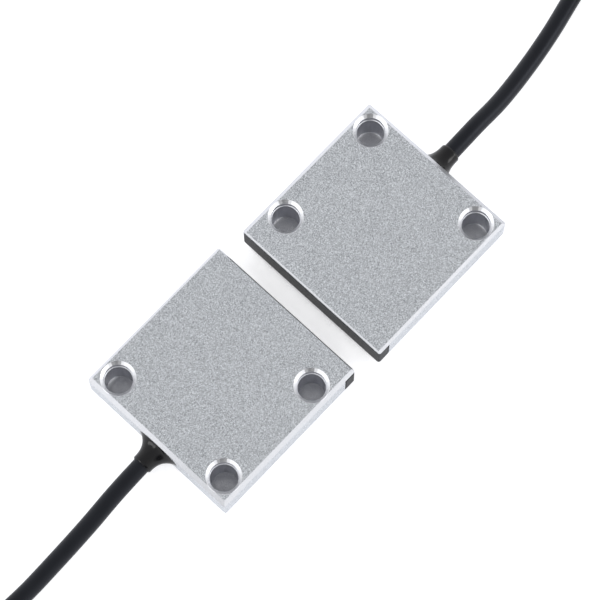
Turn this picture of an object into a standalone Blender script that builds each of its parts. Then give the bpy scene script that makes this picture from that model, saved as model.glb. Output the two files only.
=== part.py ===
"""Door contact sensor: a wired pair of flat metal halves, one for the door frame and one for the door.

Metres, +Z up. Origin: on the mounting plane, midway between the two halves.
+X runs across the sensing gap from the frame half to the door half, +Y along the gap.
Each half is drawn in its own frame, with its sensing face at x = 0 and its lead leaving at +x.
"""

import math

import bmesh
import bpy
from mathutils import Matrix, Vector

# Driving dimensions of one half
SIDE = 0.040            # square plan of the housing
THICKNESS = 0.0095      # mounting face to top face
SENSING_GAP = 0.0062    # between the two sensing faces
STAGGER = 0.0006        # each half's centre line, off the pair's centre line
FIT = 0.0003            # clearance between pieces that touch

# Housing
LID = 0.0016            # metal over the cavity
LIP = 0.0008            # metal over the window
WALL = 0.0036
BOTTOM_ROUND = 0.0022
CORNER_ROUND = 0.0005
WIDE_BEVEL = 0.0009     # top edge, lead side and the side with two holes
NARROW_BEVEL = 0.0006   # top edge, side with one hole
FRONT_BEVEL = 0.0003    # top edge over the window

# Screw holes
BORE = 0.0060
MOUTH = 0.0077          # across the outer edge of each hole's stepped mouth
STEP = 0.0063           # across the mouth below its broken edge
STEP_DEPTH = 0.0018     # top face to the seat in the mouth
HOLE_INSET = 0.0046     # hole centre to the housing's sides
FRONT_HOLE = 0.0086     # hole centre to the sensing face
PILLAR = 0.0052         # radius of the metal round each hole

# Window, potting and board
WINDOW_DEPTH = 0.0028
POTTING_FROM, POTTING_TO = 0.0003, 0.0020
BOARD_FROM, BOARD_TO = 0.0024, 0.0034

# Coil
CORE_RADIUS = 0.0015
WINDING_RADIUS = 0.0023
CORE_X, CORE_Z = 0.0059, 0.0049
CORE_FROM, CORE_TO = -0.0158, 0.0096
WINDING_FROM, WINDING_TO = -0.0120, 0.0060

# Lead
LEAD = 0.0040           # outside diameter
LEAD_Y, LEAD_Z = 0.0003, 0.0049
BOOT_LENGTH = 0.0045
BOOT_RADIUS = 0.0036
WIRE = 0.0010           # diameter of one insulated wire in the lead

# Hank of lead that is put away, pinched at its waist by a tie, with its free end in the middle
HANK_HEIGHT = 0.0115
ROWS = 2
TURN_RADIUS = 0.012     # innermost turn, round the hank's ends
HALF_RUN = 0.020        # from the waist to the centre of a rounded end
WAIST = 0.0044          # innermost turn, off the hank's centre line at the waist
HANK_OFFSET = 0.0064    # hank's centre line, off the lead's
STRAP = 0.0006          # thickness of the tie
STRAP_WIDTH = 0.0045

HALVES = {
    "frame": {"turn": math.pi, "side": 1, "hank_at": 0.1160},
    "door": {"turn": 0.0, "side": -1, "hank_at": 0.1175},
}


def clear_scene():
    for obj in list(bpy.data.objects):
        bpy.data.objects.remove(obj, do_unlink=True)


def new_collection(name, hidden=False):
    collection = bpy.data.collections.new(name)
    collection.hide_render = hidden
    bpy.context.scene.collection.children.link(collection)
    return collection


def material(name, colour, roughness, metallic=0.0):
    made = bpy.data.materials.get(name) or bpy.data.materials.new(name)
    made.use_nodes = True
    shader = made.node_tree.nodes["Principled BSDF"]
    shader.inputs["Base Color"].default_value = (*colour, 1)
    shader.inputs["Roughness"].default_value = roughness
    shader.inputs["Metallic"].default_value = metallic
    return made


def aluminium():
    return material("blasted_aluminium", (0.56, 0.57, 0.59), 0.42, 1.0)


def window_plastic():
    return material("window_plastic", (0.03, 0.03, 0.035), 0.45)


def resin():
    return material("black_resin", (0.012, 0.012, 0.014), 0.2)


def jacket():
    return material("lead_jacket", (0.012, 0.012, 0.014), 0.38)


# Building helpers

def add(name, data, half, look):
    """An object of this half, in the parts collection and riding on the half's empty."""
    obj = bpy.data.objects.new(f"{half['name']}_{name}", data)
    data.materials.append(look)
    half["parts"].objects.link(obj)
    obj.parent = half["empty"]
    return obj


def add_cutter(name, mesh, half):
    obj = bpy.data.objects.new(f"{half['name']}_{name}", mesh)
    obj.hide_render = True
    obj.display_type = "WIRE"
    half["cutters"].objects.link(obj)
    obj.parent = half["empty"]
    return obj


def cut(obj, cutter, operation="DIFFERENCE"):
    modifier = obj.modifiers.new(cutter.name, "BOOLEAN")
    modifier.operation = operation
    modifier.solver = "EXACT"
    modifier.object = cutter


def box_mesh(name, low, high):
    low, high = Vector(low), Vector(high)
    bm = bmesh.new()
    place = Matrix.Translation((low + high) / 2) @ Matrix.Diagonal((*(high - low), 1))
    bmesh.ops.create_cube(bm, size=1, matrix=place)
    mesh = bpy.data.meshes.new(name)
    bm.to_mesh(mesh)
    bm.free()
    return mesh


def cylinder_mesh(name, radius, low, high, sides=32, top_radius=None):
    """A cylinder or cone along Z between two points (x, y, z) that differ in z."""
    low, high = Vector(low), Vector(high)
    bm = bmesh.new()
    bmesh.ops.create_cone(
        bm, cap_ends=True, segments=sides, radius1=radius,
        radius2=radius if top_radius is None else top_radius,
        depth=high.z - low.z, matrix=Matrix.Translation((low + high) / 2))
    mesh = bpy.data.meshes.new(name)
    bm.to_mesh(mesh)
    bm.free()
    return mesh


def turned(name, profile, half, look, place, steps=24):
    """A ring turned about Z from a closed profile of (radius, z), listed down its outer side, then placed."""
    mesh = bpy.data.meshes.new(name)
    points = [(radius, 0, z) for radius, z in profile]
    edges = [(i, (i + 1) % len(points)) for i in range(len(points))]
    mesh.from_pydata(points, edges, [])
    obj = add(name, mesh, half, look)
    obj.matrix_local = place
    screw = obj.modifiers.new("turn", "SCREW")
    screw.steps = screw.render_steps = steps
    screw.use_merge_vertices = True
    screw.merge_threshold = 0.00001
    screw.use_smooth_shade = True
    return obj


def tube(name, points, radius, half, look, resolution=2):
    curve = bpy.data.curves.new(name, "CURVE")
    curve.dimensions = "3D"
    curve.bevel_depth = radius
    curve.bevel_resolution = resolution
    curve.use_fill_caps = True
    spline = curve.splines.new("POLY")
    spline.points.add(len(points) - 1)
    for point, at in zip(spline.points, points):
        point.co = (*at, 1)
    return add(name, curve, half, look)


def flat(name, outlines, thickness, half, look, place):
    """A sheet with these closed outlines; the first is its edge and the others are holes."""
    curve = bpy.data.curves.new(name, "CURVE")
    curve.dimensions = "2D"
    curve.fill_mode = "BOTH"
    curve.extrude = thickness / 2
    for outline in outlines:
        spline = curve.splines.new("POLY")
        spline.use_cyclic_u = True
        spline.points.add(len(outline) - 1)
        for point, (x, y) in zip(spline.points, outline):
            point.co = (x, y, 0, 1)
    obj = add(name, curve, half, look)
    obj.matrix_local = place
    return obj


def smooth_curve(route, step):
    """Points about a step apart on a smooth curve through the route (centripetal Catmull-Rom)."""
    route = [Vector(p) for p in route]
    ends = [2 * route[0] - route[1], *route, 2 * route[-1] - route[-2]]
    points = []
    for p0, p1, p2, p3 in zip(ends, ends[1:], ends[2:], ends[3:]):
        t0 = 0.0
        t1 = t0 + (p1 - p0).length ** 0.5
        t2 = t1 + (p2 - p1).length ** 0.5
        t3 = t2 + (p3 - p2).length ** 0.5
        count = max(1, round((p2 - p1).length / step))
        for i in range(count):
            t = t1 + (t2 - t1) * i / count
            a1 = p0.lerp(p1, (t - t0) / (t1 - t0))
            a2 = p1.lerp(p2, (t - t1) / (t2 - t1))
            a3 = p2.lerp(p3, (t - t2) / (t3 - t2))
            b1 = a1.lerp(a2, (t - t0) / (t2 - t0))
            b2 = a2.lerp(a3, (t - t1) / (t3 - t1))
            points.append(b1.lerp(b2, (t - t1) / (t2 - t1)))
    return points + [route[-1]]


def arc(centre, radius, start, end, count):
    """Points (x, y) on an arc, with angles in degrees."""
    angles = [math.radians(start + (end - start) * i / count) for i in range(count + 1)]
    return [(centre[0] + radius * math.cos(a), centre[1] + radius * math.sin(a)) for a in angles]


def along_x(x, y, z):
    """Puts a piece drawn about +Z with its axis along +X, starting at (x, y, z)."""
    return Matrix.Translation((x, y, z)) @ Matrix.Rotation(math.pi / 2, 4, "Y")


# Housing and window

def rounded_block_mesh(name):
    """The half's outer block, with rounded bottom edges and slightly rounded upright corners."""
    bm = bmesh.new()
    place = Matrix.Translation((SIDE / 2, 0, THICKNESS / 2)) @ Matrix.Diagonal((SIDE, SIDE, THICKNESS, 1))
    bmesh.ops.create_cube(bm, size=1, matrix=place)
    weight = bm.edges.layers.float.new("bevel_weight_edge")
    for edge in bm.edges:
        heights = [v.co.z for v in edge.verts]
        if max(heights) < FIT:
            edge[weight] = 1.0
        elif max(heights) - min(heights) > FIT:
            edge[weight] = CORNER_ROUND / BOTTOM_ROUND
    mesh = bpy.data.meshes.new(name)
    bm.to_mesh(mesh)
    bm.free()
    return mesh


def add_rounding(obj):
    bevel = obj.modifiers.new("rounding", "BEVEL")
    bevel.limit_method = "WEIGHT"
    bevel.width = BOTTOM_ROUND
    bevel.segments = 5
    bevel.use_clamp_overlap = False


def hole_centres():
    inner = SIDE / 2 - HOLE_INSET
    return [(SIDE - HOLE_INSET, inner), (SIDE - HOLE_INSET, -inner), (FRONT_HOLE, inner)]


def edge_bevel_cutters(half):
    """A square bar laid on edge along each top edge, whose lower face takes the bevel off."""
    bar = SIDE / 4
    middle = SIDE / 2
    sides = [
        ("lead_bevel", (SIDE, 0), WIDE_BEVEL, 0),
        ("hole_side_bevel", (middle, SIDE / 2), WIDE_BEVEL, 90),
        ("plain_side_bevel", (middle, -SIDE / 2), NARROW_BEVEL, -90),
        ("front_bevel", (0, 0), FRONT_BEVEL, 180),
    ]
    for name, (x, y), width, turn in sides:
        mesh = box_mesh(name, (-bar / 2, -SIDE, -bar / 2), (bar / 2, SIDE, bar / 2))
        cutter = add_cutter(name, mesh, half)
        out = bar / 2 - width / math.sqrt(2)
        cutter.matrix_local = (
            Matrix.Translation((x, y, THICKNESS))
            @ Matrix.Rotation(math.radians(turn), 4, "Z")
            @ Matrix.Rotation(-math.pi / 4, 4, "Y")
            @ Matrix.Translation((out, 0, 0)))
        yield cutter


def cavity_cutter(half):
    """The room inside, open at the back and front, less the pillars round the screw holes."""
    inside = SIDE / 2 - WALL
    front = WINDOW_DEPTH + FIT / 2
    mesh = box_mesh("cavity", (front, -inside, -SIDE), (SIDE - WALL, inside, THICKNESS - LID))
    cavity = add_cutter("cavity", mesh, half)
    for i, (x, y) in enumerate(hole_centres()):
        mesh = cylinder_mesh("pillar", PILLAR, (x, y, -2 * SIDE), (x, y, SIDE), sides=40)
        cut(cavity, add_cutter(f"pillar_{i + 1}", mesh, half))
    return cavity


def hole_cutters(half):
    """A bore and its stepped mouth with a broken edge, turned in one about each hole's axis."""
    edge, seat = (MOUTH - STEP) / 2, (STEP - BORE) / 2
    above = THICKNESS + edge
    profile = [
        (MOUTH / 2 + edge, above), (STEP / 2, THICKNESS - edge), (STEP / 2, THICKNESS - STEP_DEPTH),
        (BORE / 2, THICKNESS - STEP_DEPTH - seat), (BORE / 2, -SIDE), (0, -SIDE), (0, above)]
    for i, (x, y) in enumerate(hole_centres()):
        bm = bmesh.new()
        points = [bm.verts.new((radius, 0, z)) for radius, z in profile]
        for start, end in zip(points, points[1:]):
            bm.edges.new((start, end))
        bmesh.ops.spin(
            bm, geom=bm.verts[:] + bm.edges[:], axis=(0, 0, 1), cent=(0, 0, 0),
            angle=math.tau, steps=32, use_merge=True)
        bmesh.ops.remove_doubles(bm, verts=bm.verts, dist=1e-6)
        bmesh.ops.recalc_face_normals(bm, faces=bm.faces)
        mesh = bpy.data.meshes.new("screw_hole")
        bm.to_mesh(mesh)
        bm.free()
        cutter = add_cutter(f"screw_hole_{i + 1}", mesh, half)
        cutter.location = (x, y, 0)
        yield cutter


def make_housing(half):
    """Die-cast shell with its lid, walls and screw pillars in one, open at the back and under the lip."""
    housing = add("housing", rounded_block_mesh("housing"), half, aluminium())
    add_rounding(housing)
    for cutter in edge_bevel_cutters(half):
        cut(housing, cutter)
    for cutter in hole_cutters(half):
        cut(housing, cutter)
    front = box_mesh("front_pocket", (-SIDE, -SIDE, -SIDE), (WINDOW_DEPTH + FIT, SIDE, THICKNESS - LIP))
    cut(housing, add_cutter("front_pocket", front, half))
    cut(housing, cavity_cutter(half))
    entry = cylinder_mesh("lead_entry", LEAD / 2 + FIT, (0, 0, 0), (0, 0, SIDE), sides=24)
    entry_cutter = add_cutter("lead_entry", entry, half)
    entry_cutter.matrix_local = along_x(SIDE - 2 * WALL, LEAD_Y, LEAD_Z)
    cut(housing, entry_cutter)


def make_window(half):
    """Moulded plastic front that carries on the housing's rounded outline under the lip."""
    window = add("window", rounded_block_mesh("window"), half, window_plastic())
    add_rounding(window)
    rear = box_mesh("window_rear", (WINDOW_DEPTH, -SIDE, -SIDE), (2 * SIDE, SIDE, SIDE))
    cut(window, add_cutter("window_rear", rear, half))
    top = THICKNESS - LIP - FIT
    above = box_mesh("window_top", (-SIDE, -SIDE, top), (2 * SIDE, SIDE, SIDE))
    cut(window, add_cutter("window_top", above, half))


def make_potting(half):
    """Resin poured in from the back, round the pillars, a little below the mounting face."""
    side = SIDE / 2 - WALL - FIT
    mesh = box_mesh(
        "potting", (WINDOW_DEPTH + FIT, -side, POTTING_FROM), (SIDE - WALL - FIT, side, POTTING_TO))
    potting = add("potting", mesh, half, resin())
    for i, (x, y) in enumerate(hole_centres()):
        clear = cylinder_mesh("pillar_clear", PILLAR + FIT, (x, y, -SIDE), (x, y, SIDE), sides=40)
        cut(potting, add_cutter(f"pillar_clear_{i + 1}", clear, half))
    front_pillar_y = SIDE / 2 - HOLE_INSET
    corner = box_mesh("corner_clear", (-SIDE, front_pillar_y, -SIDE), (FRONT_HOLE, SIDE, SIDE))
    cut(potting, add_cutter("corner_clear", corner, half))


# Electronics

def make_board(half):
    """Circuit board, notched round the three pillars."""
    front, rear, step_front, step_rear = 0.0090, 0.0330, 0.0144, 0.0300
    narrow, wide = 0.0100, SIDE / 2 - WALL - 2 * FIT
    outline = [
        (front, -wide), (step_rear, -wide), (step_rear, -narrow), (rear, -narrow), (rear, narrow),
        (step_rear, narrow), (step_rear, wide), (step_front, wide), (step_front, narrow), (front, narrow)]
    flat("circuit_board", [outline], BOARD_TO - BOARD_FROM, half,
         material("board_green", (0.02, 0.12, 0.05), 0.4),
         Matrix.Translation((0, 0, (BOARD_FROM + BOARD_TO) / 2)))


def make_coil(half):
    """Ferrite rod across the window, with its winding."""
    lie_along_y = Matrix.Rotation(-math.pi / 2, 4, "X")
    rod = cylinder_mesh("ferrite_rod", CORE_RADIUS, (0, 0, CORE_FROM), (0, 0, CORE_TO), sides=24)
    ferrite = add("ferrite_rod", rod, half, material("ferrite", (0.06, 0.06, 0.065), 0.6))
    ferrite.matrix_local = Matrix.Translation((CORE_X, 0, CORE_Z)) @ lie_along_y
    inner = CORE_RADIUS + FIT
    profile = [
        (WINDING_RADIUS, WINDING_TO), (WINDING_RADIUS, WINDING_FROM),
        (inner, WINDING_FROM), (inner, WINDING_TO)]
    turned("coil", profile, half, material("enamelled_copper", (0.55, 0.2, 0.07), 0.3, 1.0),
           Matrix.Translation((CORE_X, 0, CORE_Z)) @ lie_along_y)


def make_components(half):
    """The parts that stand on the board."""
    foot = BOARD_TO + FIT
    black = material("chip_black", (0.02, 0.02, 0.022), 0.5)
    tan = material("capacitor_tan", (0.45, 0.3, 0.16), 0.5)
    yellow = material("tantalum_yellow", (0.75, 0.5, 0.08), 0.45)
    for name, x, y, length, width, height, look in (
            ("controller_chip", 0.0215, -0.0020, 0.0050, 0.0050, 0.0010, black),
            ("tuning_capacitor", 0.0125, -0.0060, 0.0025, 0.0032, 0.0018, tan),
            ("smoothing_capacitor", 0.0230, 0.0110, 0.0060, 0.0032, 0.0026, yellow)):
        low = (x - length / 2, y - width / 2, foot)
        high = (x + length / 2, y + width / 2, foot + height)
        part = add(name, box_mesh(name, low, high), half, look)
        bevel = part.modifiers.new("edges", "BEVEL")
        bevel.width = 0.0002
        bevel.segments = 1


# Lead entry

def make_lead_entry(half):
    """The end of the lead's jacket in the wall, its crimped ferrule inside and the resin boot outside."""
    stub_from, ferrule_from, ferrule_to = 0.0336, 0.0340, 0.0358
    tip = SIDE + FIT + BOOT_LENGTH
    tube("cable_stub", [(stub_from, LEAD_Y, LEAD_Z), (tip - FIT, LEAD_Y, LEAD_Z)], LEAD / 2, half, jacket())
    inner = LEAD / 2 + FIT
    outer = inner + FIT
    length = ferrule_to - ferrule_from
    turned("cable_ferrule", [(outer, length), (outer, 0), (inner, 0), (inner, length)], half,
           material("tinned_brass", (0.7, 0.68, 0.6), 0.3, 1.0), along_x(ferrule_from, LEAD_Y, LEAD_Z))
    steps = 6
    flare = [
        (inner + FIT + (BOOT_RADIUS - inner - FIT) * (1 - i / steps) ** 2.5, BOOT_LENGTH * i / steps)
        for i in range(steps, -1, -1)]
    profile = flare + [(inner, 0), (inner, BOOT_LENGTH)]
    turned("cable_boot", profile, half, resin(), along_x(SIDE + FIT, LEAD_Y, LEAD_Z))


def wire_colour(i):
    names = ("white", "brown", "green", "yellow")
    colours = ((0.8, 0.8, 0.78), (0.2, 0.08, 0.04), (0.05, 0.35, 0.12), (0.8, 0.6, 0.05))
    return names[i], material(f"wire_{names[i]}", colours[i], 0.4)


def wire_offset(i):
    """Where wire i lies in the lead's section, sideways and up."""
    pitch = 0.75 * WIRE
    return pitch * (1 if i % 2 else -1), pitch * (1 if i < 2 else -1)


def make_inner_wires(half):
    """The four wires from the jacket's end down to the board."""
    start, bend, pad = 0.0333, 0.0310, 0.0275
    height = BOARD_TO + FIT + WIRE / 2
    for i in range(4):
        across, up = wire_offset(i)
        pad_y = LEAD_Y + (-3, 1, -1, 3)[i] * 0.00085
        route = [
            (start, LEAD_Y + across, LEAD_Z + up),
            (bend, (LEAD_Y + across + pad_y) / 2, (LEAD_Z + up + height) / 2),
            (pad + 0.0012, pad_y, height),
            (pad, pad_y, height)]
        name, look = wire_colour(i)
        tube(f"inner_wire_{name}", smooth_curve(route, 0.0012), WIRE / 2, half, look, resolution=1)


# Free lead, in its visible stretch, its hank and its bare end

def hank_lift():
    return STRAP + FIT


def hank_outside():
    return (ROWS - 0.5) * LEAD


def hank_middle(half):
    """The middle of the hank, on plan. The lead joins its outermost turn, on the far side from this."""
    return half["hank_at"] + HALF_RUN, half["side"] * HANK_OFFSET + LEAD_Y


def lead_route(half):
    """The lead from its boot to the hank: straight out, down to the surface and over to the outer turn."""
    start, near = SIDE + FIT + BOOT_LENGTH + FIT, half["hank_at"]
    outer = hank_middle(half)[1] - half["side"] * (TURN_RADIUS + (ROWS - 1) * LEAD)
    floor = LEAD / 2
    if half["name"] == "frame":
        middle = [(0.0720, LEAD_Y, floor), (0.0885, LEAD_Y, floor)]
    else:
        middle = [(0.0720, LEAD_Y + 0.0012, floor), (0.0850, LEAD_Y + 0.0032, floor)]
    return [
        (start, LEAD_Y, LEAD_Z), (start + 0.0080, LEAD_Y, LEAD_Z - 0.0003),
        (start + 0.0165, LEAD_Y, floor + 0.0011), *middle,
        ((middle[-1][0] + near) / 2, (LEAD_Y + 2 * outer) / 3, floor),
        (near - 0.0030, outer, floor)]


def make_lead(half):
    """The free stretch stops just short of the hank's round end."""
    centre = Vector((half["hank_at"], hank_middle(half)[1]))
    reach = TURN_RADIUS + hank_outside() + LEAD / 2 + FIT
    points = [p for p in smooth_curve(lead_route(half), 2.2 * LEAD) if (p.xy - centre).length > reach]
    tube("lead", points, LEAD / 2, half, jacket(), resolution=3)


def waisted_outline(middle, outward):
    """A turn's outline on plan, two round ends joined by hollow sides, moved outward by a distance."""
    x, y = middle
    hollow = (HALF_RUN ** 2 + WAIST ** 2 - TURN_RADIUS ** 2) / (2 * (TURN_RADIUS - WAIST))
    rise = WAIST + hollow
    lean = math.degrees(math.atan2(rise, HALF_RUN))
    end, side = TURN_RADIUS + outward, hollow - outward
    outline = []
    for centre, radius, start, stop, count in (
            ((x + HALF_RUN, y), end, lean - 180, 180 - lean, 16), ((x, y + rise), side, -lean, lean - 180, 6),
            ((x - HALF_RUN, y), end, lean, 360 - lean, 16), ((x, y - rise), side, 180 - lean, lean, 6)):
        outline += arc(centre, radius, start, stop, count)[:-1]
    return outline


def make_hank(half):
    """The outer shape of the folded lead: long turns beside and on each other, pinched at the waist."""
    middle = hank_middle(half)
    outlines = [waisted_outline(middle, hank_outside()), waisted_outline(middle, -LEAD / 2)]
    flat("lead_hank", outlines, HANK_HEIGHT, half, jacket(),
         Matrix.Translation((0, 0, hank_lift() + HANK_HEIGHT / 2)))


def make_tie(half):
    """A strap round the hank's waist."""
    (x, y), side = hank_middle(half), WAIST + hank_outside() + FIT
    low, high = STRAP, hank_lift() + HANK_HEIGHT + FIT
    outlines = []
    for grow in (STRAP, 0.0):
        radius = FIT + grow
        corners = ((side, high, 0), (-side, high, 90), (-side, low, 180), (side, low, 270))
        outline = []
        for across, up, turn in corners:
            centre = (across - math.copysign(FIT, across), up + (FIT if up == low else -FIT))
            outline += arc(centre, radius, turn, turn + 90, 3)
        outlines.append(outline)
    upright = Matrix(((0, 0, 1, x), (1, 0, 0, y), (0, 1, 0, 0), (0, 0, 0, 1)))
    flat("hank_tie", outlines, STRAP_WIDTH, half, material("tie_nylon", (0.02, 0.02, 0.022), 0.5), upright)


def tail_route(half):
    """The free end, from the far end of the hank through its waist to the near end and down to the surface."""
    (x, y), side = hank_middle(half), half["side"]
    high, rest = hank_lift() + 0.0075, LEAD / 2
    return [
        (x + 0.0170, y + side * 0.0055, high),
        (x + 0.0080, y + side * 0.0010, high),
        (x, y, high),
        (x - 0.0080, y, (high + rest) / 2),
        (x - 0.0140, y, rest + 0.0002),
        (x - 0.0160, y, rest)]


def make_tail(half):
    """The free end's jacket and its four stripped wires, spread a little."""
    route = tail_route(half)
    tube("lead_tail", smooth_curve(route, LEAD), LEAD / 2, half, jacket(), resolution=3)
    end_x, end_y, end_z = route[-1]
    for i in range(4):
        across, up = wire_offset(i)
        spread = (-3, 1, -1, 3)[i] * 0.0011
        rest = WIRE / 2
        wire = [
            (end_x - 2 * FIT, end_y + across, end_z + up),
            (end_x - 0.0035, end_y + across + 0.3 * spread, end_z + 0.6 * up),
            (end_x - 0.0080, end_y + 0.5 * across + 0.9 * spread, (rest + end_z) / 2 - 0.0003),
            (end_x - 0.0120, end_y + spread * 1.3, rest)]
        name, look = wire_colour(i)
        tube(f"end_wire_{name}", smooth_curve(wire, 0.0025), WIRE / 2, half, look, resolution=1)


def make_half(name, parts, cutters):
    empty = bpy.data.objects.new(f"{name}_half", None)
    bpy.context.scene.collection.objects.link(empty)
    turn, side = HALVES[name]["turn"], HALVES[name]["side"]
    facing = math.cos(turn)
    empty.location = (facing * SENSING_GAP / 2, side * STAGGER, 0)
    empty.rotation_euler = (0, 0, turn)
    half = {**HALVES[name], "name": name, "empty": empty, "parts": parts, "cutters": cutters}
    for make in (
            make_housing, make_window, make_potting, make_board, make_coil, make_components,
            make_lead_entry, make_inner_wires, make_lead, make_hank, make_tie, make_tail):
        make(half)


def shade_round_pieces(parts):
    for obj in parts.objects:
        if obj.type == "MESH":
            obj.data.shade_smooth()
            obj.data.set_sharp_from_angle(angle=math.radians(35))


def main():
    clear_scene()
    parts = new_collection("door_contact_sensor")
    cutters = new_collection("cutters", hidden=True)
    for name in HALVES:
        make_half(name, parts, cutters)
    shade_round_pieces(parts)


main()
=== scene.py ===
"""Looks for the door contact sensor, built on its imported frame, in metres."""

import math

import bpy
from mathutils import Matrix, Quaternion, Vector


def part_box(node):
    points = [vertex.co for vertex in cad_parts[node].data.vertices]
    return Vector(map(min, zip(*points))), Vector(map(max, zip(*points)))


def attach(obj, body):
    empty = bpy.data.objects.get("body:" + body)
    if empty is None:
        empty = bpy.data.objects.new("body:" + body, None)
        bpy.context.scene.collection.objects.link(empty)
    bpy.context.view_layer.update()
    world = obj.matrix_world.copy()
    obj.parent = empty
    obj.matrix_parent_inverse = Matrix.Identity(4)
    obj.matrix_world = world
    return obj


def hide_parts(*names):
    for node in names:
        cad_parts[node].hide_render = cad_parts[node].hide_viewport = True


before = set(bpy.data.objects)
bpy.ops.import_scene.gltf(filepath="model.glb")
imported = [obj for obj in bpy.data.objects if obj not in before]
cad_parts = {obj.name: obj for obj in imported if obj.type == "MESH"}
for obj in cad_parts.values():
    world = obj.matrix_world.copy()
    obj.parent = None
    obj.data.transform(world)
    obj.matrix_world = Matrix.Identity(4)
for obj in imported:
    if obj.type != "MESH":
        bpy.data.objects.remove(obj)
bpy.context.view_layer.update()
scene = bpy.context.scene

# Camera. A long lens looks down on the pair from high on the frame half's side, turned a little
# about its own axis, so the two halves lie corner to corner across the view.
CAMERA_AT = Vector((-0.11626, -0.11297, 0.57148))
CAMERA_AIM = Vector((0.00218, 0.00168, 0.00019))
CAMERA_ROLL = -0.87
CAMERA_LENS = 165.2

camera = bpy.data.objects.new("camera", bpy.data.cameras.new("camera"))
camera.data.lens = CAMERA_LENS
camera.data.clip_start = 0.01
camera.location = CAMERA_AT
camera.rotation_mode = "QUATERNION"
camera.rotation_quaternion = (
    (CAMERA_AIM - CAMERA_AT).to_track_quat("-Z", "Y") @ Quaternion((0, 0, 1), math.radians(CAMERA_ROLL)))
scene.collection.objects.link(camera)
scene.camera = camera

# Leads. Each is one black PVC-jacketed cable, 4 mm thick, that leaves its half straight, drops to
# the surface, and is put away in a hank of nested turns pinched by a tie, its free end in the middle.
LEAD = 0.0040
LEAD_Y, LEAD_Z = 0.0003, 0.0049
EXIT = 0.0451
END_RADIUS, HALF_RUN, WAIST = 0.0120, 0.0200, 0.0044
HANK_OFFSET = 0.0064
HALF_GAP, HALF_STAGGER = 0.0031, 0.0006
HALVES = {
    "frame": {"facing": -1, "side": 1, "hank_at": 0.1160},
    "door": {"facing": 1, "side": -1, "hank_at": 0.1175},
}


def place(half, x, y, z):
    """World position of a point in a half's own frame: sensing face at x = 0, lead leaving at +x."""
    facing = HALVES[half]["facing"]
    return Vector((facing * (HALF_GAP + x), facing * (y - HALF_STAGGER), z))


def smooth_curve(route, step):
    """Points about a step apart on a smooth centripetal curve through the route."""
    route = [Vector(p) for p in route]
    ends = [2 * route[0] - route[1], *route, 2 * route[-1] - route[-2]]
    points = []
    for p0, p1, p2, p3 in zip(ends, ends[1:], ends[2:], ends[3:]):
        t0 = 0.0
        t1 = t0 + (p1 - p0).length ** 0.5
        t2 = t1 + (p2 - p1).length ** 0.5
        t3 = t2 + (p3 - p2).length ** 0.5
        count = max(1, round((p2 - p1).length / step))
        for i in range(count):
            t = t1 + (t2 - t1) * i / count
            a1 = p0.lerp(p1, (t - t0) / (t1 - t0))
            a2 = p1.lerp(p2, (t - t1) / (t2 - t1))
            a3 = p2.lerp(p3, (t - t2) / (t3 - t2))
            b1 = a1.lerp(a2, (t - t0) / (t2 - t0))
            b2 = a2.lerp(a3, (t - t1) / (t3 - t1))
            points.append(b1.lerp(b2, (t - t1) / (t2 - t1)))
    return points + [route[-1]]


def tube(name, points, radius, sides=4):
    curve = bpy.data.curves.new(name, "CURVE")
    curve.dimensions = "3D"
    curve.bevel_depth = radius
    curve.bevel_resolution = sides
    curve.use_fill_caps = True
    spline = curve.splines.new("POLY")
    spline.points.add(len(points) - 1)
    for point, at in zip(spline.points, points):
        point.co = (*at, 1)
    spline.use_smooth = True
    obj = bpy.data.objects.new(name, curve)
    scene.collection.objects.link(obj)
    return obj


# The hank's turn on plan, as arcs about its middle: centre, radius, start and stop angles, and +1
# where a turn laid outside has a larger radius or -1 where it has a smaller one.
HOLLOW = (HALF_RUN ** 2 + WAIST ** 2 - END_RADIUS ** 2) / (2 * (END_RADIUS - WAIST))
LEAN = math.atan2(WAIST + HOLLOW, HALF_RUN)
TURN_ARCS = [
    ((-HALF_RUN, 0), END_RADIUS, 1.5 * math.pi, math.tau - LEAN, 1),
    ((0, -WAIST - HOLLOW), HOLLOW, math.pi - LEAN, LEAN, -1),
    ((HALF_RUN, 0), END_RADIUS, LEAN - math.pi, math.pi - LEAN, 1),
    ((0, WAIST + HOLLOW), HOLLOW, -LEAN, LEAN - math.pi, -1),
    ((-HALF_RUN, 0), END_RADIUS, LEAN, 1.5 * math.pi, 1),
]
LAYER = (LEAD / 2, 1.5 * LEAD, 2.38 * LEAD)
# Where the lead changes row (its distance outside the innermost turn) and layer: first turn, last
# turn, and the value before and after.
ROW_CHANGES = [(0.86, 1.04, LEAD, 0.0), (2.62, 2.84, 0.0, LEAD), (3.49, 3.64, LEAD, LEAD / 2)]
LAYER_CHANGES = [(1.78, 1.98, LAYER[0], LAYER[1]), (3.47, 3.62, LAYER[1], LAYER[2])]
TURNS = 4.47
STRAP = 0.0006


def ease(t, changes):
    value = changes[0][2]
    for start, stop, _, after in changes:
        s = min(max((t - start) / (stop - start), 0.0), 1.0)
        value += (after - value) * s * s * (3 - 2 * s)
    return value


def turn_point(t):
    """A point on the hank after t turns, from the hank's middle, with the lead coming in at t = 0."""
    row, height = ease(t, ROW_CHANGES), ease(t, LAYER_CHANGES)
    lengths = [radius * abs(stop - start) for _, radius, start, stop, _ in TURN_ARCS]
    along = (t % 1.0) * sum(lengths)
    for (centre, radius, start, stop, outward), length in zip(TURN_ARCS, lengths):
        if along <= length:
            break
        along -= length
    angle = start + (stop - start) * min(along / length, 1.0)
    reach = radius + outward * row
    x, y = centre[0] + reach * math.cos(angle), centre[1] + reach * math.sin(angle)
    return x, y, height + 1.1 * STRAP * math.exp(-(x / 0.009) ** 2)


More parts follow.
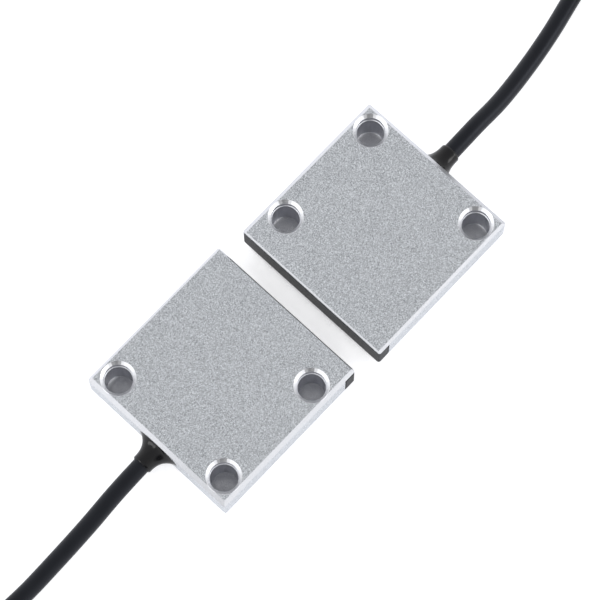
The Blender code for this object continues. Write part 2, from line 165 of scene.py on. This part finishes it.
def lead_points(half):
    side, near = HALVES[half]["side"], HALVES[half]["hank_at"]
    middle_x, middle_y = near + HALF_RUN, LEAD_Y + side * HANK_OFFSET
    outer = middle_y - side * (END_RADIUS + LEAD)
    floor = LEAD / 2
    if half == "frame":
        seen = [(0.0720, 0.0010, floor), (0.0820, 0.0011, floor), (0.0890, 0.0003, floor)]
    else:
        seen = [(0.0725, 0.0021, floor), (0.0820, 0.0037, floor), (0.0900, 0.0055, floor)]
    last_x, last_y, _ = seen[-1]
    route = [
        (0.0402, LEAD_Y, LEAD_Z), (EXIT, LEAD_Y, LEAD_Z), (EXIT + 0.0080, LEAD_Y + 0.0002, LEAD_Z - 0.0003),
        (EXIT + 0.0165, LEAD_Y + 0.0005, floor + 0.0011), *seen,
        ((last_x + near) / 2, (last_y + 2 * outer) / 3, floor), (near, outer, floor)]
    points = smooth_curve(route, 0.002)[:-1]
    for i in range(int(TURNS * 60) + 1):
        x, y, z = turn_point(i / 60)
        points.append((middle_x + x, middle_y + side * y, z))
    x, y, z = turn_point(TURNS)
    tail = [
        (x, y, z), (x - 0.0065, y + 0.0006, z + 0.0006), (0.0125, 0.0098, z + 0.0010),
        (0.0065, 0.0042, 0.0100), (0.0, 0.0003, 0.0086), (-0.0070, 0.0, 0.0062),
        (-0.0125, 0.0, 0.0032), (-0.0160, 0.0, 0.0021), (-0.0172, 0.0, 0.0020)]
    points += [(middle_x + p[0], middle_y + side * p[1], p[2]) for p in smooth_curve(tail, 0.002)[1:]]
    return [place(half, *p) for p in points]


def length_of(points):
    return sum((b - a).length for a, b in zip(points, points[1:]))


def as_mesh(drawn):
    """The same piece as a mesh, in place of the curve it was drawn with."""
    name = drawn.name
    shape = drawn.evaluated_get(bpy.context.evaluated_depsgraph_get())
    mesh = bpy.data.meshes.new_from_object(shape)
    bpy.data.objects.remove(drawn)
    obj = bpy.data.objects.new(name, mesh)
    scene.collection.objects.link(obj)
    mesh.name = name
    mesh.shade_smooth()
    mesh.set_sharp_from_angle(angle=math.radians(50))
    return obj


lead_lines = {half: lead_points(half) for half in HALVES}
leads = {}
for half, points in lead_lines.items():
    leads[half] = as_mesh(tube(f"{half}_cable", points, LEAD / 2, 5))
    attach(leads[half], f"{half}_half")
    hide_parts(f"{half}_lead", f"{half}_lead_hank", f"{half}_lead_tail")


def finish(name, colour, roughness, metallic=0.0):
    """A new material, with its node tree and its Principled shader."""
    made = bpy.data.materials.new(name)
    made.use_nodes = True
    tree = made.node_tree
    shader = tree.nodes["Principled BSDF"]
    shader.inputs["Base Color"].default_value = (*colour, 1)
    shader.inputs["Roughness"].default_value = roughness
    shader.inputs["Metallic"].default_value = metallic
    return made, tree, shader


def new_group(name, inputs, outputs):
    group = bpy.data.node_groups.new(name, "ShaderNodeTree")
    for label, value in inputs.items():
        socket = group.interface.new_socket(label, in_out="INPUT", socket_type="NodeSocketFloat")
        socket.default_value = value
    for label in outputs:
        group.interface.new_socket(label, in_out="OUTPUT", socket_type="NodeSocketFloat")
    return group, group.nodes.new("NodeGroupInput"), group.nodes.new("NodeGroupOutput")


def calculate(tree, operation, *values):
    """The output of a Math node, fed with sockets or plain numbers."""
    node = tree.nodes.new("ShaderNodeMath")
    node.operation = operation
    for socket, value in zip(node.inputs, values):
        if isinstance(value, bpy.types.NodeSocket):
            tree.links.new(value, socket)
        else:
            socket.default_value = value
    return node.outputs[0]


def grain_group():
    """Fine irregular grain: Size is the grain's size in metres, Detail how far it breaks up."""
    group, given, gives = new_group("surface_grain", {"Size": 0.0003, "Detail": 3.0}, ["Grain"])
    at = group.nodes.new("ShaderNodeTexCoord")
    noise = group.nodes.new("ShaderNodeTexNoise")
    per_metre = calculate(group, "DIVIDE", 1.0, given.outputs["Size"])
    group.links.new(per_metre, noise.inputs["Scale"])
    group.links.new(given.outputs["Detail"], noise.inputs["Detail"])
    group.links.new(at.outputs["Object"], noise.inputs["Vector"])
    group.links.new(noise.outputs["Fac"], gives.inputs["Grain"])
    return group


GRAIN = grain_group()


def grain(tree, size, detail=3.0):
    node = tree.nodes.new("ShaderNodeGroup")
    node.node_tree = GRAIN
    node.inputs["Size"].default_value = size
    node.inputs["Detail"].default_value = detail
    return node.outputs["Grain"]


def bump(tree, shader, height, depth, strength=1.0):
    node = tree.nodes.new("ShaderNodeBump")
    node.inputs["Strength"].default_value = strength
    node.inputs["Distance"].default_value = depth
    tree.links.new(height, node.inputs["Height"])
    tree.links.new(node.outputs["Normal"], shader.inputs["Normal"])


def spread(tree, value, low, high, target, from_low=0.3, from_high=0.7):
    """Feeds a value, remapped to run from low to high, into a socket."""
    node = tree.nodes.new("ShaderNodeMapRange")
    node.inputs["From Min"].default_value = from_low
    node.inputs["From Max"].default_value = from_high
    node.inputs["To Min"].default_value = low
    node.inputs["To Max"].default_value = high
    tree.links.new(value, node.inputs["Value"])
    if target is not None:
        tree.links.new(node.outputs["Result"], target)
    return node.outputs["Result"]


def blend_colours(tree, factor, low, high, target):
    """Feeds a colour between low and high, each a colour or a socket, into a socket."""
    node = tree.nodes.new("ShaderNodeMix")
    node.data_type = "RGBA"
    for socket, colour in (("A_Color", low), ("B_Color", high)):
        found = next(s for s in node.inputs if s.identifier == socket)
        if isinstance(colour, bpy.types.NodeSocket):
            tree.links.new(colour, found)
        else:
            found.default_value = (*colour, 1)
    tree.links.new(factor, next(s for s in node.inputs if s.identifier == "Factor_Float"))
    out = next(s for s in node.outputs if s.identifier == "Result_Color")
    if target is not None:
        tree.links.new(out, target)
    return out


def jacket_finish():
    made, tree, shader = finish("cable_pvc", (0.006, 0.006, 0.007), 0.5)
    fine, broad = grain(tree, 0.00018), grain(tree, 0.004, 2.0)
    shader.inputs["Specular IOR Level"].default_value = 0.27
    shader.inputs["Specular Tint"].default_value = (0.82, 0.87, 1.0, 1)
    blend_colours(tree, broad, (0.003, 0.0034, 0.005), (0.007, 0.0076, 0.010), shader.inputs["Base Color"])
    spread(tree, fine, 0.32, 0.46, shader.inputs["Roughness"])
    bump(tree, shader, fine, 0.000012, 0.5)
    return made


cable_pvc = jacket_finish()
for lead in leads.values():
    lead.data.materials.append(cable_pvc)

# Stripped end of each lead. Four stranded wires in coloured PVC leave the cut jacket, spread a
# little, and each shows a few millimetres of tinned copper.
WIRE = 0.0010
CUT_BACK = 0.0168
WIRE_COLOURS = {
    "white": (0.72, 0.72, 0.70), "brown": (0.16, 0.06, 0.03),
    "green": (0.03, 0.26, 0.08), "yellow": (0.75, 0.52, 0.03)}
INSULATED = 0.0088
CONDUCTOR_RADIUS = WIRE / 3.2
FAN_PITCH = 0.0011


def insulation_finish(name, colour):
    made, tree, shader = finish(f"insulation_{name}", colour, 0.35)
    fine = grain(tree, 0.0002)
    dull = tuple(0.82 * c for c in colour)
    blend_colours(tree, fine, dull, colour, shader.inputs["Base Color"])
    bump(tree, shader, fine, 0.000005, 0.4)
    return made


def tinned_finish():
    made, tree, shader = finish("tinned_copper", (0.72, 0.71, 0.68), 0.3, 1.0)
    fine = grain(tree, 0.00012)
    spread(tree, fine, 0.22, 0.42, shader.inputs["Roughness"])
    bump(tree, shader, fine, 0.00001, 0.5)
    return made


INSULATION = {name: insulation_finish(name, colour) for name, colour in WIRE_COLOURS.items()}
tinned = tinned_finish()
end_pieces = {half: [] for half in HALVES}
for half in HALVES:
    side, near = HALVES[half]["side"], HALVES[half]["hank_at"]
    x0, y0 = near + HALF_RUN - CUT_BACK, LEAD_Y + side * HANK_OFFSET
    for i, name in enumerate(WIRE_COLOURS):
        across, up = 0.75 * WIRE * (1 if i % 2 else -1), 0.75 * WIRE * (1 if i < 2 else -1)
        fan = (-3, 1, -1, 3)[i] * FAN_PITCH
        route = [
            (x0, y0 + across, LEAD / 2 + up), (x0 - 0.0030, y0 + across + 0.3 * fan, LEAD / 2 + 0.6 * up),
            (x0 - 0.0070, y0 + 0.5 * across + 0.8 * fan, WIRE), (x0 - 0.0092, y0 + 1.1 * fan, 0.56 * WIRE),
            (x0 - 0.0118, y0 + 1.3 * fan, WIRE / 2)]
        points = [place(half, *p) for p in smooth_curve(route, 0.0007)]
        cut_at = next(i for i in range(len(points)) if length_of(points[:i + 1]) > INSULATED)
        wire = tube(f"{half}_wire_{name}", points[:cut_at + 1], WIRE / 2, 4)
        bare = [p - Vector((0, 0, WIRE / 6)) for p in points[cut_at:]]
        core = tube(f"{half}_conductor_{name}", bare, CONDUCTOR_RADIUS, 3)
        for piece, look in ((wire, INSULATION[name]), (core, tinned)):
            piece.data.materials.append(look)
            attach(piece, f"{half}_half")
            end_pieces[half].append(piece)
        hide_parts(f"{half}_end_wire_{name}")

# Hank ties. A black nylon strap runs round the waist of each hank, under the turns, and locks in
# its own ratchet head on top, with the spare end cut off.
TIE_WIDTH = 0.0045
TIE_HEAD = (0.0064, 0.0052, 0.0030)
TIE_END = (TIE_WIDTH, 0.0042, 0.0011)


def nylon_finish():
    made, tree, shader = finish("tie_nylon_black", (0.02, 0.02, 0.022), 0.42)
    fine = grain(tree, 0.00025)
    spread(tree, fine, 0.34, 0.5, shader.inputs["Roughness"])
    bump(tree, shader, fine, 0.00001, 0.4)
    return made


def mesh_piece(name, vertices, faces, smooth=True):
    mesh = bpy.data.meshes.new(name)
    mesh.from_pydata([tuple(v) for v in vertices], [], faces)
    mesh.validate()
    obj = bpy.data.objects.new(name, mesh)
    scene.collection.objects.link(obj)
    if smooth:
        mesh.shade_smooth()
        mesh.set_sharp_from_angle(angle=math.radians(40))
    return obj


def round_edges(obj, width, segments=2):
    bevel = obj.modifiers.new("edges", "BEVEL")
    bevel.width = width
    bevel.segments = segments
    bevel.limit_method = "ANGLE"
    bevel.angle_limit = math.radians(35)
    bevel.harden_normals = True
    return obj


def strap_outline(side, low, high, corner):
    """Points round the strap's inner face, across and up, from the middle of its top."""
    points = [(0.0, high)]
    for centre, start in (
            ((side - corner, high - corner), 90), ((side - corner, low + corner), 0),
            ((corner - side, low + corner), -90), ((corner - side, high - corner), -180)):
        for i in range(7):
            angle = math.radians(start - 15 * i)
            points.append((centre[0] + corner * math.cos(angle), centre[1] + corner * math.sin(angle)))
    return points


nylon = nylon_finish()


def make_tie(half):
    """The strap of a half's hank, with the middle of its CAD solid and the height of its top."""
    low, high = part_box(f"{half}_hank_tie")
    middle = [(a + b) / 2 for a, b in zip(low, high)]
    side = (high[1] - low[1]) / 2 - STRAP
    inner = strap_outline(side, STRAP * 0.9, high[2] - STRAP, 0.0016)
    outer = strap_outline(side + STRAP, 0.00002, high[2], 0.0022)
    vertices, faces, count = [], [], len(inner)
    for x in (-TIE_WIDTH / 2, TIE_WIDTH / 2):
        for ring in (inner, outer):
            vertices += [(middle[0] + x, middle[1] + y, z) for y, z in ring]
    for i in range(count):
        j = (i + 1) % count
        near_in, near_out, far_in, far_out = ([k * count + n for n in (i, j)] for k in range(4))
        for a, b in ((near_in, near_out), (near_out, far_out), (far_out, far_in), (far_in, near_in)):
            faces.append((a[0], a[1], b[1], b[0]))
    strap = mesh_piece(f"{half}_tie_strap", vertices, faces)
    strap.data.materials.append(nylon)
    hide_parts(f"{half}_hank_tie")
    return strap, middle, high[2]


def box_piece(name, centre, size, look, bevel):
    corners = [
        [centre[k] + size[k] / 2 * (1 if i >> k & 1 else -1) for k in range(3)] for i in range(8)]
    faces = [(0, 2, 3, 1), (4, 5, 7, 6), (0, 1, 5, 4), (2, 6, 7, 3), (0, 4, 6, 2), (1, 3, 7, 5)]
    obj = mesh_piece(name, corners, faces, smooth=False)
    round_edges(obj, bevel, 3)
    obj.data.materials.append(look)
    return obj


ties = {}
for half in HALVES:
    strap, middle, top = make_tie(half)
    head_at = (middle[0], middle[1] - 0.0022, top + 0.0013)
    spare_at = (middle[0], middle[1] + 0.0012, top + 0.00115)
    head = box_piece(f"{half}_tie_head", head_at, TIE_HEAD, nylon, 0.0005)
    spare = box_piece(f"{half}_tie_end", spare_at, TIE_END, nylon, 0.0002)
    ties[half] = [strap, head, spare]
    for piece in ties[half]:
        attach(piece, f"{half}_half")

# Resin collars. Black epoxy is drawn up round each lead where it leaves the wall, and sets as a
# glossy flare that thins to a film on the metal. The frame half's film has run out sideways.
COLLAR_AT = 0.04002
COLLAR_LENGTH = 0.0047
COLLAR_TIP = LEAD / 2 + 0.00035
COLLAR_INSIDE = LEAD / 2 - 0.0002
COLLAR_UP, COLLAR_DOWN = 0.0034, 0.0036
EDGE_SQUARENESS = 2.4


def resin_finish():
    made, tree, shader = finish("epoxy_black", (0.004, 0.004, 0.005), 0.16)
    broad, fine = grain(tree, 0.0012, 2.0), grain(tree, 0.0003)
    spread(tree, fine, 0.12, 0.24, shader.inputs["Roughness"])
    bump(tree, shader, broad, 0.00008, 0.5)
    shader.inputs["Specular IOR Level"].default_value = 0.3
    return made


epoxy = resin_finish()


def collar_edge(half, angle):
    """How far the resin reaches on the wall, in a direction round the lead (0 is sideways, +y)."""
    across, up = math.cos(angle), math.sin(angle)
    if half == "frame":
        reach = 0.0052 + 0.0003 * math.sin(3 * angle + 0.7)
    else:
        reach = 0.0041 + 0.0002 * math.sin(3 * angle + 2.1)
    limit = COLLAR_UP if up > 0 else COLLAR_DOWN
    ripple = 0.00010 * math.sin(5 * angle + 1.0) + 0.00006 * math.sin(9 * angle)
    power = EDGE_SQUARENESS
    return 1 / ((abs(across) / reach) ** power + (abs(up) / limit) ** power) ** (1 / power) + ripple


def collar_ring(radii, along):
    """Points round the lead, one for each radius, at a distance from the wall."""
    ring = []
    for k, radius in enumerate(radii):
        angle = math.tau * k / len(radii)
        y, z = LEAD_Y + radius * math.cos(angle), LEAD_Z + radius * math.sin(angle)
        ring.append((COLLAR_AT + along, y, z))
    return ring


def make_collar(half):
    sides, steps = 72, 16
    edges = [collar_edge(half, math.tau * k / sides) for k in range(sides)]
    rings = []
    for i in range(steps + 1):
        s = i / steps
        radii = [COLLAR_TIP + (edge - COLLAR_TIP) * (1 - s) ** 2.6 for edge in edges]
        rings.append(collar_ring(radii, COLLAR_LENGTH * s ** 1.25))
    for radius, along in (
            (LEAD / 2 + 0.00018, COLLAR_LENGTH + 0.00022), (COLLAR_INSIDE, COLLAR_LENGTH + 0.0001),
            (COLLAR_INSIDE, 0.0)):
        rings.append(collar_ring([radius] * sides, along))
    vertices = [place(half, *p) for ring in rings for p in ring]
    faces, count = [], len(rings)
    for r in range(count):
        n = (r + 1) % count
        for k in range(sides):
            j = (k + 1) % sides
            faces.append((r * sides + k, r * sides + j, n * sides + j, n * sides + k))
    collar = mesh_piece(f"{half}_resin_collar", vertices, faces)
    collar.data.materials.append(epoxy)
    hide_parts(f"{half}_cable_boot")
    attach(collar, f"{half}_half")


for half in HALVES:
    make_collar(half)

# Housings. Die-cast and bead-blasted, then the top edges and the stepped screw holes are cut with a
# polished tool, so the edges stay bright. The holes' sloping mouths are coloured near white, a painted
# highlight, above plain metal bores.
HOLES = [(0.0354, 0.0154), (0.0354, -0.0154), (0.0086, 0.0154)]
MOUTH_REACH = 0.00387
BORE_TOP = 0.00752
BLASTED_DARK, BLASTED_LIGHT = (0.17, 0.182, 0.205), (0.90, 0.93, 0.97)
BEVEL_DARK, BEVEL_LIGHT = (0.52, 0.53, 0.56), (0.70, 0.71, 0.74)
# The near-white colour of the holes' mouths is a painted highlight; the bores below keep a plain metal
# colour.
MOUTH_PAINTED_HIGHLIGHT, BORE_METAL = (0.94, 0.95, 0.98), (0.58, 0.59, 0.64)
CUT_ROUGHNESS = 0.28


def is_cut_face(tree):
    """1 on the bevels and the sloping rims of the holes' mouths, 0 on level and upright faces."""
    facing = tree.nodes.new("ShaderNodeNewGeometry")
    parts = tree.nodes.new("ShaderNodeSeparateXYZ")
    tree.links.new(facing.outputs["True Normal"], parts.inputs[0])
    rising = spread(tree, parts.outputs["Z"], 0.0, 1.0, None, 0.55, 0.65)
    level = spread(tree, parts.outputs["Z"], 1.0, 0.0, None, 0.78, 0.88)
    return calculate(tree, "MULTIPLY", rising, level)


def bore_group():
    """1 within Reach of any of three upright axes, in metres in the object's own frame, 0 elsewhere."""
    inputs = {"Reach": 0.0035}
    for i in range(3):
        inputs.update({f"Axis {i + 1} X": 0.0, f"Axis {i + 1} Y": 0.0})
    group, given, gives = new_group("near_upright_axes", inputs, ["Mask"])
    at = group.nodes.new("ShaderNodeTexCoord")
    parts = group.nodes.new("ShaderNodeSeparateXYZ")
    group.links.new(at.outputs["Object"], parts.inputs[0])
    mask = None
    for i in range(3):
        offsets = [
            calculate(group, "SUBTRACT", parts.outputs[axis], given.outputs[f"Axis {i + 1} {axis}"])
            for axis in "XY"]
        squares = [calculate(group, "MULTIPLY", offset, offset) for offset in offsets]
        away = calculate(group, "SQRT", calculate(group, "ADD", *squares))
        inside = calculate(group, "LESS_THAN", away, given.outputs["Reach"])
        mask = inside if mask is None else calculate(group, "MAXIMUM", mask, inside)
    group.links.new(mask, gives.inputs["Mask"])
    return group


BORES = bore_group()


def is_bore(tree, half):
    """1 on the walls of a half's three screw holes, measured in its node's own frame."""
    node = tree.nodes.new("ShaderNodeGroup")
    node.node_tree = BORES
    node.inputs["Reach"].default_value = MOUTH_REACH
    to_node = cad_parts[f"{half}_housing"].matrix_world.inverted()
    for i, (x, y) in enumerate(HOLES):
        centre = to_node @ place(half, x, y, 0)
        node.inputs[f"Axis {i + 1} X"].default_value = centre.x
        node.inputs[f"Axis {i + 1} Y"].default_value = centre.y
    return node.outputs["Mask"]


def is_low_down(tree):
    """1 below the seats in the holes' mouths and 0 above them."""
    at = tree.nodes.new("ShaderNodeTexCoord")
    parts = tree.nodes.new("ShaderNodeSeparateXYZ")
    tree.links.new(at.outputs["Object"], parts.inputs[0])
    return spread(tree, parts.outputs["Z"], 1.0, 0.0, None, BORE_TOP - 0.0001, BORE_TOP)


def housing_finish(half):
    made, tree, shader = finish(f"blasted_metal_{half}", (0.6, 0.61, 0.63), 0.4, 1.0)
    hole = is_bore(tree, half)
    cut = calculate(tree, "MAXIMUM", is_cut_face(tree), hole)
    coarse, fine = grain(tree, 0.00016, 3.0), grain(tree, 0.00008, 2.0)
    speckle = spread(tree, coarse, 0.0, 1.0, None)
    blasted = blend_colours(tree, speckle, BLASTED_DARK, BLASTED_LIGHT, None)
    bright = blend_colours(tree, speckle, BEVEL_DARK, BEVEL_LIGHT, None)
    outside = blend_colours(tree, cut, blasted, bright, None)
    # Above the seats, the holes' mouths get a near-white painted highlight.
    mouth = blend_colours(tree, hole, outside, MOUTH_PAINTED_HIGHLIGHT, None)
    bore = calculate(tree, "MULTIPLY", hole, is_low_down(tree))
    blend_colours(tree, bore, mouth, BORE_METAL, shader.inputs["Base Color"])
    rough = tree.nodes.new("ShaderNodeMix")
    tree.links.new(cut, rough.inputs["Factor"])
    tree.links.new(spread(tree, fine, 0.30, 0.56, None), rough.inputs["A"])
    rough.inputs["B"].default_value = CUT_ROUGHNESS
    tree.links.new(rough.outputs["Result"], shader.inputs["Roughness"])
    height = calculate(tree, "MULTIPLY", coarse, spread(tree, cut, 1.0, 0.12, None, 0.0, 1.0))
    bump(tree, shader, height, 0.00008, 1.0)
    return made


def dress(nodes, look):
    """Gives CAD nodes a material in place of their own."""
    for name in nodes:
        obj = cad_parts[name]
        obj.data.materials.clear()
        obj.data.materials.append(look)


for half in HALVES:
    dress([f"{half}_housing"], housing_finish(half))

# Windows. Dark moulded plastic closes the face of each half that looks at the other, so that the
# sensing field can pass through it. Its surface is finely textured.


def window_finish():
    made, tree, shader = finish("window_moulded", (0.02, 0.021, 0.026), 0.5)
    fine, broad = grain(tree, 0.0002), grain(tree, 0.003, 2.0)
    blend_colours(tree, broad, (0.007, 0.008, 0.011), (0.013, 0.014, 0.018), shader.inputs["Base Color"])
    shader.inputs["Specular IOR Level"].default_value = 0.16
    spread(tree, fine, 0.42, 0.58, shader.inputs["Roughness"])
    bump(tree, shader, fine, 0.00002, 0.6)
    return made


dress([f"{half}_window" for half in HALVES], window_finish())

# Insides. A coil on a ferrite rod, a small circuit board and the lead's crimped end, all closed in
# by the housing, the window and the resin filled in from the back.


def plain_finish(name, low, high, roughness, grain_size, metallic=0.0, depth=0.00001):
    made, tree, shader = finish(name, high, roughness, metallic)
    fine = grain(tree, grain_size)
    blend_colours(tree, fine, low, high, shader.inputs["Base Color"])
    spread(tree, fine, roughness - 0.06, roughness + 0.08, shader.inputs["Roughness"])
    bump(tree, shader, fine, depth, 0.5)
    return made


def winding_finish():
    """Turns of enamelled wire, as ridges along the rod, with painted shade in the grooves between them."""
    made, tree, shader = finish("winding_copper", (0.5, 0.17, 0.06), 0.28, 1.0)
    at = tree.nodes.new("ShaderNodeTexCoord")
    wave = tree.nodes.new("ShaderNodeTexWave")
    wave.bands_direction = "Y"
    wave.inputs["Scale"].default_value = 1000.0
    tree.links.new(at.outputs["Object"], wave.inputs["Vector"])
    ridge = wave.outputs["Fac"]
    # The darker colour in the grooves between turns is painted shade.
    blend_colours(tree, ridge, (0.22, 0.06, 0.02), (0.62, 0.24, 0.09), shader.inputs["Base Color"])
    bump(tree, shader, ridge, 0.00005, 0.8)
    return made


INSIDE = {
    "potting": epoxy,
    "circuit_board": plain_finish(
        "solder_mask_green", (0.012, 0.09, 0.035), (0.02, 0.15, 0.06), 0.35, 0.0005),
    "ferrite_rod": plain_finish(
        "ferrite_grey", (0.04, 0.04, 0.045), (0.08, 0.08, 0.085), 0.6, 0.0002, depth=0.00003),
    "coil": winding_finish(),
    "controller_chip": plain_finish(
        "chip_epoxy", (0.015, 0.015, 0.017), (0.03, 0.03, 0.032), 0.55, 0.00015),
    "tuning_capacitor": plain_finish(
        "capacitor_ceramic", (0.36, 0.23, 0.12), (0.5, 0.34, 0.18), 0.5, 0.0003),
    "smoothing_capacitor": plain_finish(
        "capacitor_epoxy", (0.62, 0.38, 0.05), (0.78, 0.52, 0.1), 0.45, 0.0003),
    "cable_stub": cable_pvc,
    "cable_ferrule": plain_finish(
        "ferrule_tin", (0.55, 0.54, 0.5), (0.72, 0.7, 0.66), 0.3, 0.0003, metallic=1.0),
}
for name, look in INSIDE.items():
    dress([f"{half}_{name}" for half in HALVES], look)
for name, look in INSULATION.items():
    dress([f"{half}_inner_wire_{name}" for half in HALVES], look)

# Floor and light. A pale table that glows where nothing covers it, a painted light that fades to painted
# shade in the holes, the gap and round the halves, under an even studio sky that is brighter low down than
# above, with a dim patch low behind the camera.
FLOOR_HALF = 1.5
FLOOR_Z = -0.00005
PAINTED_TABLE_LIGHT = 0.8
DIM_PATCH = Vector((-0.62, -0.73, 0.28)).normalized()


def make_floor():
    corners = [(FLOOR_HALF * x, FLOOR_HALF * y, FLOOR_Z) for x, y in ((-1, -1), (1, -1), (1, 1), (-1, 1))]
    floor = mesh_piece("floor", corners, [(0, 1, 2, 3)], smooth=False)
    made, tree, shader = finish("white_table", (0.48, 0.49, 0.53), 0.9)
    shader.inputs["Specular IOR Level"].default_value = 0.1
    # The table's glow is painted light, strongest where the sky above is open; in the holes, the gap and
    # round the halves it fades out, leaving painted shade.
    open_sky = tree.nodes.new("ShaderNodeAmbientOcclusion")
    open_sky.samples = 12
    open_sky.inputs["Distance"].default_value = 0.03
    shader.inputs["Emission Color"].default_value = (1, 1, 1, 1)
    spread(tree, open_sky.outputs["AO"], 0.0, PAINTED_TABLE_LIGHT, shader.inputs["Emission Strength"], 0.16, 0.25)
    floor.data.materials.append(made)


def make_sky():
    world = bpy.data.worlds.new("studio")
    world.use_nodes = True
    scene.world = world
    tree = world.node_tree
    at = tree.nodes.new("ShaderNodeTexCoord")
    parts = tree.nodes.new("ShaderNodeSeparateXYZ")
    tree.links.new(at.outputs["Generated"], parts.inputs[0])
    strength = spread(tree, parts.outputs["Z"], 1.35, 0.72, None, 0.15, 0.9)
    toward = tree.nodes.new("ShaderNodeVectorMath")
    toward.operation = "DOT_PRODUCT"
    tree.links.new(at.outputs["Generated"], toward.inputs[0])
    toward.inputs[1].default_value = DIM_PATCH
    shade = spread(tree, toward.outputs["Value"], 1.0, 0.12, None, 0.86, 0.97)
    back = tree.nodes["Background"]
    back.inputs["Color"].default_value = (1, 1, 1, 1)
    tree.links.new(calculate(tree, "MULTIPLY", strength, shade), back.inputs["Strength"])


def softbox(name, at, size, power):
    light = bpy.data.lights.new(name, "AREA")
    light.shape = "DISK"
    light.size = size
    light.energy = power
    obj = bpy.data.objects.new(name, light)
    obj.location = at
    obj.rotation_mode = "QUATERNION"
    obj.rotation_quaternion = (-Vector(at)).to_track_quat("-Z", "Y")
    scene.collection.objects.link(obj)


make_floor()
make_sky()
softbox("softbox_left", (-0.9, 0.5, 0.6), 0.5, 2.0)
softbox("softbox_right", (0.6, -0.9, 0.5), 0.5, 2.0)
scene.view_settings.view_transform = "Standard"
